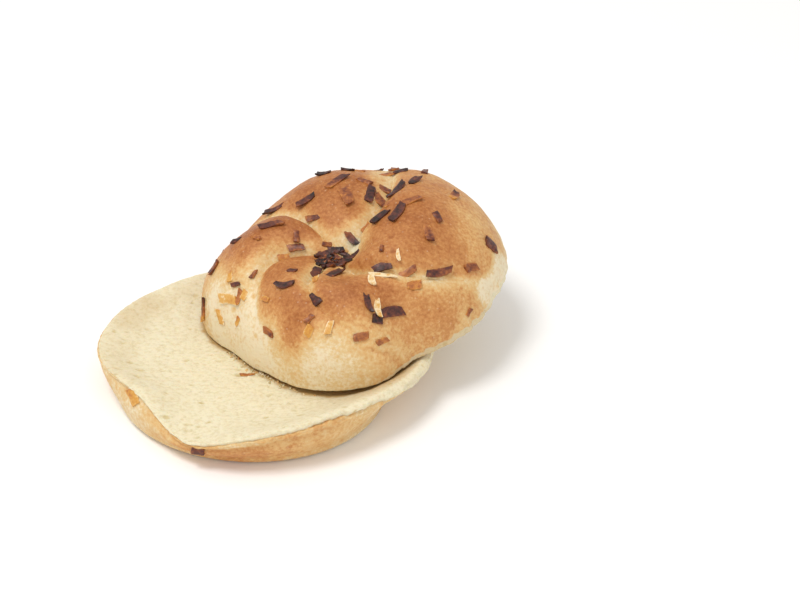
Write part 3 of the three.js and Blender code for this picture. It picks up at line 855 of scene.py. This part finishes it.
onion = {
    "thickness": 1.1,
    "paleThickness": 0.7,      # share of that for pale flakes
    "paleTone": 0.6,
    "sink": 0.4,               # share of the thickness below the crust
    "slimmest": 0.55,
    "spacing": 5.5,
    "tries": 4000,
    "seed": 71,
    "width": (1.8, 2.8),
    "scatterTones": [0.2, 0.3, 0.46, 0.6, 0.76],
    "frontTones": (0.5, 0.85),
    "heapTones": [0.06, 0.16, 0.34, 0.52, 0.66],
    "front": {"count": 3, "angle": (170, 400), "share": (0.3, 0.9), "length": (2.2, 3.4)},
    "brow": {"count": 4, "angle": (50, 98), "share": (0.8, 0.92), "length": (3.5, 7)},
    "back": {"count": 13, "angle": (66, 158), "share": (0.94, 0.99), "length": (3.5, 8)},
    "knot": {"count": 9, "radius": 4.6, "spread": (0.35, 1.1), "length": (4, 6.5), "width": (1.4, 2.2)},
    # burnt bits heaped in the knot: how many, where their middle is, how far they spread, size
    "heap": {"count": 26, "middle": (-0.8, -0.8), "spread": 2.2, "length": (2.2, 4.2), "width": (0.9, 1.7)},
    "steadyBelow": (0.85, 0.7),    # shares of the way to the rim between which flakes start to lie flatter
    "steadiness": 0.9,
    "warp": (4.0, 0.9),        # mm, size and height of the bends that baking gives a flake
    "ragged": (0.8, 0.3),      # mm, size and height of its uneven cut edges
    "warpSeed": 2.0,
    "sharpAngle": 50,
    # name, widths along it, hollow across, bend and twist along, slant of its ends, curve of its outline
    "forms": [
        ("aChip", (0.86, 1.0, 0.96, 1.0, 0.9), 0.15, 0.2, 0.25, 0.12, 0.03),
        ("bTrough", (0.8, 0.96, 1.0, 0.92, 0.74), 0.55, 0.3, 0.3, 0.1, 0.12),
        ("cStrip", (0.5, 0.85, 1.0, 0.95, 0.7), 0.35, 0.5, 0.6, 0.08, 0.2),
        ("dChip", (0.95, 1.0, 0.92, 0.96, 0.78), 0.25, 0.3, -0.3, -0.14, -0.06),
        ("eTrough", (0.74, 0.92, 1.0, 0.98, 0.85), 0.5, 0.25, -0.4, -0.12, -0.14),
        ("fStrip", (0.6, 0.95, 1.0, 0.85, 0.5), 0.4, 0.45, -0.7, -0.08, -0.22),
    ],
    # angle about the pinch, share of the way to the rim, heading, length, width,
    # form (0 flat chip, 1 rolled trough, 2 pointed strip), tone at its start and at its end (0 burnt, 1 pale)
    "lead": [
        (20, 0.405, 63, 9, 3.4, 1, 0.2, 0.24), (44, 0.24, 60, 4.5, 2.4, 0, 0.66, 0.6),
        (26, 0.305, 38, 7, 2.6, 1, 0.1, 0.2), (27, 0.495, 30, 8.5, 2.8, 1, 0.62, 0.56),
        (31.5, 0.78, 65, 5.4, 3, 1, 0.8, 0.2), (12.5, 0.63, -64, 4.6, 2.4, 0, 0.3, 0.42),
        (0, 0.61, 105, 6.8, 3, 0, 0.36, 0.7), (10, 0.925, -8, 5.4, 4, 0, 0.3, 0.34),
        (331.5, 0.63, 32, 6.4, 2.8, 0, 0.68, 0.5), (342, 0.765, 14, 9, 2.8, 1, 0.3, 0.44),
        (354.5, 0.885, 15, 5.4, 3, 0, 0.5, 0.54), (324.5, 0.485, 6, 6.4, 2.8, 1, 0.26, 0.24),
        (46, 0.505, 53, 9.5, 2.8, 2, 0.14, 0.2), (45, 0.635, 62, 5.5, 2.6, 1, 0.22, 0.26),
        (53.5, 0.425, -50, 7.5, 3, 1, 0.5, 0.44), (61, 0.415, 80, 7.5, 3.2, 0, 0.2, 0.24),
        (57.5, 0.515, -25, 4.8, 2.6, 0, 0.5, 0.42), (69.5, 0.505, -35, 5.4, 2.4, 0, 0.54, 0.5),
        (76, 0.35, -75, 8, 4, 0, 0.52, 0.56), (87, 0.475, 46, 9, 3.2, 1, 0.64, 0.14),
        (113, 0.425, 24, 7.2, 2.4, 1, 0.4, 0.16), (115, 0.3, 2, 5, 2.4, 0, 0.6, 0.26),
        (129.5, 0.66, 0, 7.6, 2.2, 1, 0.1, 0.4), (154.5, 0.455, 12, 8, 2.6, 1, 0.28, 0.4),
        (155, 0.27, 90, 4.5, 2.4, 0, 0.5, 0.46), (167, 0.255, 0, 5.5, 3, 0, 0.5, 0.44),
        (174, 0.83, 20, 5.4, 2.2, 1, 0.32, 0.44), (183, 0.972, 204, 8.4, 1.8, 1, 0.12, 0.8),
        (195.6, 0.947, 236, 5, 2.6, 0, 0.88, 0.85), (196.4, 0.86, 344, 8, 3.6, 0, 0.92, 0.84),
        (201, 0.817, 232, 4.8, 1.8, 0, 0.6, 0.7), (230, 0.615, -17, 7, 2.6, 2, 0.22, 0.2),
        (230, 0.9, -55, 4.2, 2.4, 0, 0.6, 0.5), (231, 0.261, 68, 5, 3.2, 0, 0.46, 0.18),
        (257.5, 0.615, -60, 5.2, 3.2, 0, 0.18, 0.22), (256, 0.835, 60, 3.8, 2.8, 0, 0.82, 0.78),
        (267.5, 0.81, 75, 4.5, 2.4, 0, 0.86, 0.92), (271, 0.282, 52, 7.8, 2.8, 1, 0.26, 0.2),
        (283.5, 0.865, 15, 5, 2.6, 0, 0.54, 0.58), (293.5, 0.92, 18, 4.5, 2, 0, 0.6, 0.64),
        (293.6, 0.73, 288, 6.6, 2.2, 1, 0.2, 0.26), (298, 0.778, 288, 6.5, 2.2, 1, 0.97, 0.92),
        (305.5, 0.845, 4, 7.8, 3.6, 1, 0.26, 0.3), (316.4, 0.589, -12, 9.4, 1.8, 2, 0.98, 0.96),
        (305.6, 0.597, 284, 4.4, 2.2, 1, 0.98, 0.96), (326, 0.745, 10, 4.8, 3.4, 0, 0.63, 0.66),
        (48, 0.14, 304, 6, 2.4, 1, 0.5, 0.08), (1.5, 0.118, 212, 6, 1.8, 2, 0.2, 0.3),
        (61.5, 0.745, -5, 4.8, 2.2, 0, 0.12, 0.16), (66, 0.7, 35, 5, 2.4, 0, 0.62, 0.56),
        (84, 0.68, -10, 4.8, 1.8, 2, 0.06, 0.1), (78.5, 0.69, -10, 4, 2.2, 0, 0.74, 0.66),
        (165, 0.67, -10, 4, 2, 0, 0.2, 0.24), (195.6, 0.767, -4, 3.4, 1.6, 1, 0.4, 0.28),
        (189.4, 0.757, 80, 3.4, 2, 0, 0.88, 0.84), (178.5, 0.345, 0, 3.8, 2.2, 0, 0.66, 0.7),
        (220, 0.435, -20, 3, 2, 0, 0.28, 0.34), (295, 0.83, -20, 3.6, 3, 0, 0.2, 0.24),
        (206.5, 0.926, 36, 3.2, 1.8, 0, 0.86, 0.74), (37, 0.4, 40, 4.5, 2, 0, 0.66, 0.6),
        (256, 0.77, 40, 3.4, 2, 0, 0.54, 0.56), (336, 0.405, 80, 2.6, 1.6, 0, 0.42, 0.44),
        (335, 0.54, 100, 4.2, 1.4, 2, 0.96, 0.97), (196, 0.628, 60, 3.2, 1.4, 0, 0.5, 0.54),
        (119, 0.1, 10, 3.4, 2, 0, 0.5, 0.54), (203, 0.79, 50, 3, 2.4, 0, 0.86, 0.82),
        (339, 0.98, 100, 3.2, 1.8, 0, 0.62, 0.5), (96, 0.63, -15, 5, 2.2, 1, 0.06, 0.12),
    ],
    # angle, way along the heel's profile, heading, length, width, form, tones
    "onHeel": [(-111.5, 1.88, 8, 4.4, 2.6, 0, 0.4, 0.3), (-149.5, 1.93, 88, 6.4, 4, 0, 0.84, 0.76),
               (-116, 3.78, 5, 4.6, 1.1, 2, 0.6, 0.64)],
    "tones": [(0.0, "#1f120e"), (0.14, "#371e17"), (0.3, "#552b23"), (0.44, "#733c25"), (0.58, "#9a592c"),
              (0.7, "#b87238"), (0.82, "#cf9340"), (0.92, "#d9a75a"), (1.0, "#ecd6ac")],
    # of each piece: its material, roughness, gloss, and the tone below which a flake belongs to it
    "finishes": {"onionDark": ("burntDriedOnion", 0.42, 0.4, 0.4), "onionBrown": ("bakedDriedOnion", 0.42, 0.4, 0.7),
                 "onionGolden": ("goldenDriedOnion", 0.42, 0.35, 2)},
    "streaks": (0.9, 3, 0.6),      # noises: size in mm, detail, roughness
    "blotches": (2.4, 2, 0.5),
    "toneNoise": 0.85,
    "paleCalm": 0.75,          # how much evener the palest flakes are
    "rimTone": (4, 0.12),      # how narrow the paler rim of a flake is, and how pale
    "streakBump": (0.5, 0.0002),    # strength, m
}


def randomFrom(seed):
    state = seed

    def draw(low=0, high=1):
        nonlocal state
        state = state * 16807 % 2147483647
        return low + (high - low) * state / 2147483647
    return draw


def crownSpot(angle, share):
    lobe, across = lobeAt(np.array(angle), np.array(share))
    return crownTop(np.array(angle), np.array(share), lobe, across)


def heelSpot(angle, way):
    return heelPoint(np.array(angle), np.array(way))


def listFlakes():
    # the flakes that catch the eye, then scattered ones that keep clear of each other, then the burnt knot
    rows = list(onion["lead"])
    draw = randomFrom(onion["seed"])
    tones = np.random.default_rng(onion["seed"])
    places = [crownSpot(math.radians(row[0]), row[1]) for row in rows]
    for name in ("front", "brow", "back"):
        zone = onion[name]
        left = zone["count"]
        for attempt in range(onion["tries"]):
            if left == 0:
                break
            angle, share = draw(*zone["angle"]), draw(*zone["share"])
            place = crownSpot(math.radians(angle), share)
            if min(np.linalg.norm(place - other) for other in places) < onion["spacing"]:
                continue
            places.append(place)
            length = draw(*zone["length"])
            width = min(onion["slimmest"] * length, draw(*onion["width"]))
            tone = tones.uniform(*onion["frontTones"]) if name == "front" else tones.choice(onion["scatterTones"])
            rows.append((angle, share, draw(0, 180), length, width, tones.integers(3), tone, tone + 0.06))
            left -= 1
    draw = randomFrom(onion["seed"] + 1)
    knot = onion["knot"]
    for index in range(knot["count"]):
        angle = index * 360 / knot["count"] + draw(-15, 15)
        share = knot["radius"] * draw(*knot["spread"]) / crownRadius(math.radians(angle))
        rows.append((angle, share, angle + draw(30, 110), draw(*knot["length"]), draw(*knot["width"]),
                     1 + index % 2, tones.uniform(0.02, 0.22), tones.uniform(0.08, 0.4)))
    heap = onion["heap"]
    for index in range(heap["count"]):
        x, y = np.array(heap["middle"]) + tones.normal(0, heap["spread"], 2)
        angle = math.atan2(y, x)
        rows.append((math.degrees(angle), math.hypot(x, y) / crownRadius(angle), tones.uniform(0, 360),
                     tones.uniform(*heap["length"]), tones.uniform(*heap["width"]), tones.integers(3),
                     tones.uniform(0, 0.3), tones.choice(onion["heapTones"])))
    return rows


def surfaceFrame(pointAt, u, v):
    step = 0.004
    across = pointAt(u + step, v) - pointAt(u - step, v)
    down = pointAt(u, v + step) - pointAt(u, v - step)
    out = np.cross(across, down)
    return pointAt(u, v), out / np.linalg.norm(out)


def flakeForm(name, taper, trough, bend, twist, skew, sweep):
    # one flake of unit length, width and thickness; "along" and "edge" tell the finish where it is
    stations, ribs = 9, 5
    x = np.repeat(np.linspace(-0.5, 0.5, stations), ribs)
    y = np.tile(np.linspace(-0.5, 0.5, ribs), stations)
    width = np.interp(x, np.linspace(-0.5, 0.5, len(taper)), taper)
    lift = trough * 4 * y * y + bend * 4 * x * x
    angle = twist * x
    side, up = y * width * np.cos(angle), y * width * np.sin(angle) * 1.6
    thin = 0.5 + 0.5 * (1 - (2 * y) ** 4) * np.minimum(1, 6 * (0.5 - np.abs(x)) + 0.4)
    low = np.stack([x + skew * y * np.abs(2 * x), side + sweep * (4 * x * x - 0.5), lift + up], -1)
    high = low + np.stack([0 * x, 0 * x, thin], -1)
    at = lambda i, j: i * ribs + j
    count = stations * ribs
    faces = []
    for i in range(stations - 1):
        for j in range(ribs - 1):
            quad = [at(i, j), at(i + 1, j), at(i + 1, j + 1), at(i, j + 1)]
            faces += [[count + k for k in quad], quad[::-1]]
    border = [at(i, 0) for i in range(stations)] + [at(stations - 1, j) for j in range(1, ribs)]
    border += [at(i, ribs - 1) for i in range(stations - 2, -1, -1)] + [at(0, j) for j in range(ribs - 2, 0, -1)]
    for here, after in zip(border, border[1:] + border[:1]):
        faces.append([here, after, count + after, count + here])
    marks = {"along": np.tile(x + 0.5, 2), "edge": np.tile(2 * np.abs(y), 2)}
    form = makeObject(name, np.concatenate([low, high]) / mm, faces, marks)
    scene.collection.objects.unlink(form)
    return form


def makeFlakeTree():
    # forms laid on points by their "turn" and "size", then bent and roughened
    tree, start = startTree("onionFlakes", {
        "Forms": "Collection", "Warp size": "Float", "Warp height": "Float", "Ragged size": "Float",
        "Ragged height": "Float", "Seed": "Float", "Finish": "Material"})
    forms = addNode(tree, "GeometryNodeCollectionInfo", {
        "Collection": (start, "Forms"), "Separate Children": True, "Reset Children": True})
    form, euler, size = [
        addNode(tree, "GeometryNodeInputNamedAttribute", {"Name": mark}, data_type=kind)
        for mark, kind in (("form", "FLOAT"), ("turn", "FLOAT_VECTOR"), ("size", "FLOAT_VECTOR"))]
    pick = addNode(tree, "FunctionNodeFloatToInt", [form])
    rotation = addNode(tree, "FunctionNodeEulerToRotation", [euler])
    laid = addNode(tree, "GeometryNodeInstanceOnPoints", {
        "Points": start, "Instance": forms, "Pick Instance": True, "Instance Index": pick, "Rotation": rotation,
        "Scale": size})
    shape = addNode(tree, "GeometryNodeRealizeInstances", {"Geometry": laid})
    position = addNode(tree, "GeometryNodeInputPosition")
    for kind in ("Warp", "Ragged"):
        scale = addNode(tree, "ShaderNodeMath", [1.0, (start, kind + " size")], operation="DIVIDE")
        noise = addNode(tree, "ShaderNodeTexNoise", {
            "Vector": position, "W": (start, "Seed"), "Scale": scale, "Detail": 1.0}, noise_dimensions="4D")
        centred = addNode(tree, "ShaderNodeVectorMath", [(noise, "Color"), (0.5, 0.5, 0.5)], operation="SUBTRACT")
        offset = addNode(tree, "ShaderNodeVectorMath", {
            0: centred, "Scale": (start, kind + " height")}, operation="SCALE")
        shape = addNode(tree, "GeometryNodeSetPosition", {"Geometry": shape, "Offset": offset})
    endTree(tree, start, shape)
    return tree


flakeTree = makeFlakeTree()


def layForms(name, points, marks, forms, settings, finish):
    # a piece of many small forms, one on each point
    warpSize, warpHeight = settings["warp"]
    raggedSize, raggedHeight = settings["ragged"]
    return runTree(makeObject(name, points, [], marks), flakeTree, {
        "Forms": forms, "Warp size": warpSize * mm, "Warp height": warpHeight * mm, "Ragged size": raggedSize * mm,
        "Ragged height": raggedHeight * mm, "Seed": settings["warpSeed"], "Finish": finish})


def dropForms(forms):
    for form in list(forms.objects):
        bpy.data.objects.remove(form)
    bpy.data.collections.remove(forms)


def makeOnionMaterial(name, roughness, gloss):
    # Chopped onion dried and then baked: hard, a little glassy and streaked along its fibres, black where
    # it burnt and amber where light still comes through. "toneFrom" and "toneTo" are the flake's two ends.
    material, tree, shader = startMaterial(name)
    place = addNode(tree, "ShaderNodeTexCoord")
    along, edge, toneFrom, toneTo = [(addNode(tree, "ShaderNodeAttribute", attribute_name=mark), "Fac")
                                     for mark in ("along", "edge", "toneFrom", "toneTo")]
    streaks, blotches = [
        addNode(tree, "ShaderNodeTexNoise", {
            "Vector": (place, "Object"), "Scale": perMetre(size), "Detail": detail, "Roughness": grain})
        for size, detail, grain in (onion["streaks"], onion["blotches"])]
    spread, calm = onion["toneNoise"], onion["paleCalm"]
    rimPower, rimAmount = onion["rimTone"]
    tone = addNode(tree, "ShaderNodeMix", {0: along, 2: toneFrom, 3: toneTo}, data_type="FLOAT")
    uneven = addNode(tree, "ShaderNodeMath", [streaks, blotches], operation="ADD")
    uneven = addNode(tree, "ShaderNodeMath", [uneven, spread, -spread], operation="MULTIPLY_ADD")
    calmed = addNode(tree, "ShaderNodeMath", [tone, -calm, 1.0], operation="MULTIPLY_ADD")
    uneven = addNode(tree, "ShaderNodeMath", [uneven, calmed], operation="MULTIPLY")
    rim = addNode(tree, "ShaderNodeMath", [edge, rimPower], operation="POWER")
    rim = addNode(tree, "ShaderNodeMath", [rim, rimAmount], operation="MULTIPLY")
    tone = addNode(tree, "ShaderNodeMath", [tone, uneven], operation="ADD")
    tone = addNode(tree, "ShaderNodeMath", [tone, rim], operation="ADD", use_clamp=True)
    color = addNode(tree, "ShaderNodeValToRGB", {"Fac": tone})
    setRamp(color, onion["tones"])
    strength, distance = onion["streakBump"]
    bump = addNode(tree, "ShaderNodeBump", {"Height": streaks, "Strength": strength, "Distance": distance})
    setInputs(tree, shader, {"Base Color": color, "Normal": bump, "Roughness": roughness,
                             "Specular IOR Level": gloss})
    return material


def flakeAxes(out, heading):
    # along the flake, across it and out of the surface
    flat = np.array([math.cos(math.radians(heading)), math.sin(math.radians(heading)), 0])
    along = flat - out * flat.dot(out)
    along = along / np.linalg.norm(along)
    return np.stack([along, np.cross(out, along), out], -1)


def seatFlakes():
    # rows for the flake tree, by piece
    pieces = {name: [] for name in onion["finishes"]}
    skin = BVHTree.FromObject(crownPiece, bpy.context.evaluated_depsgraph_get())
    rows = [(row, True) for row in listFlakes()] + [(row, False) for row in onion["onHeel"]]
    for (angle, way, heading, length, width, form, toneFrom, toneTo), onCrown in rows:
        at, out = surfaceFrame(crownSpot if onCrown else heelSpot, math.radians(angle), way)
        if onCrown:
            out = np.array([0, 0, onion["steadiness"] * smoothStep(*onion["steadyBelow"], way)]) - out
            axes = crownTurn() @ flakeAxes(out / np.linalg.norm(out), heading)
            at = placeCrown(at)
            hit = skin.ray_cast(Vector((at + axes[:, 2] * 3) * mm), Vector(-axes[:, 2]), 6 * mm)[0]
            at = np.array(hit) / mm if hit else at
        else:
            axes = flakeAxes(out, heading)
        thickness = onion["thickness"] * (1 if toneFrom < onion["paleTone"] else onion["paleThickness"])
        at = at - axes[:, 2] * onion["sink"] * thickness
        darker = min(toneFrom, toneTo)
        flakes = next(pieces[name] for name, finish in onion["finishes"].items() if darker < finish[-1])
        flakes.append((at, Matrix(axes).to_euler("XYZ"), (length * mm, width * mm, thickness * mm),
                       form + 3 * (len(flakes) % 2), toneFrom, toneTo))
    return pieces


def makeFlakes():
    forms = bpy.data.collections.new("flakeForms")
    for settings in onion["forms"]:
        forms.objects.link(flakeForm(*settings))
    for name, flakes in seatFlakes().items():
        places, turns, sizes, shapes, starts, ends = (np.array(column, dtype=float) for column in zip(*flakes))
        marks = {"turn": turns, "size": sizes, "form": shapes, "toneFrom": starts, "toneTo": ends}
        finish, roughness, gloss, limit = onion["finishes"][name]
        piece = layForms(name, places, marks, forms, onion, makeOnionMaterial(finish, roughness, gloss))
        piece.data.shade_smooth()
        piece.data.set_sharp_from_angle(angle=math.radians(onion["sharpAngle"]))
        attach(piece, "root")
        print(name, len(flakes), "flakes")
    dropForms(forms)


makeFlakes()


# crumbs that fell where the crown leans on the heel

debris = {
    # where they lie along the crown's lower edge: angle about the pinch, spread, how many
    "drifts": [(207, 3, 16), (218, 5, 14), (231, 4, 12), (246, 9, 12), (222, 20, 10)],
    "away": (0.1, 3.0),        # mm out from the edge
    "size": (0.5, 2.2),        # mm
    "slimness": (1, 0.6, 0.45),
    "crusty": [0, 0, 0, 1],    # one in four is crust
    "bake": (0, 0.7),
    "warp": (0.5, 0.3),
    "ragged": (0.3, 0.15),
    "warpSeed": 5.0,
    "seed": 17,
    "finish": ("bakedWheatBreadCrumbs", 6.0),
}


def makeDebris():
    draw = np.random.default_rng(debris["seed"])
    angle = np.radians(np.concatenate([draw.normal(*drift) for drift in debris["drifts"]]))
    count = len(angle)
    low, high = debris["away"]
    away = low + (high - low) * draw.random(count) ** 2
    places = placeCrown(crownUnder(angle, 1.0) + polar(away, angle, 0.0))
    ground = BVHTree.FromObject(heelPiece, bpy.context.evaluated_depsgraph_get())
    down, above = Vector((0, 0, -1)), 40
    hits = [ground.ray_cast(Vector((x, y, above)) * mm, down)[0] for x, y, z in places]
    seated = np.array([np.array(hit) / mm for hit in hits])
    sizes = draw.uniform(*debris["size"], (count, 3)) * debris["slimness"] * mm
    marks = {"turn": draw.uniform(0, turn, (count, 3)), "size": sizes, "form": np.zeros(count),
             "crust": draw.choice(debris["crusty"], count), "bake": draw.uniform(*debris["bake"], count),
             "hollow": draw.random(count)}
    bit = bpy.data.meshes.new("crumbBit")
    shape = bmesh.new()
    bmesh.ops.create_icosphere(shape, subdivisions=1, radius=0.5)
    shape.to_mesh(bit)
    shape.free()
    forms = bpy.data.collections.new("crumbForms")
    forms.objects.link(bpy.data.objects.new("crumbBit", bit))
    piece = layForms("crumbDebris", seated, marks, forms, debris, makeBreadMaterial(*debris["finish"]))
    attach(piece, "root")
    dropForms(forms)


makeDebris()
print("crumbs are scattered")
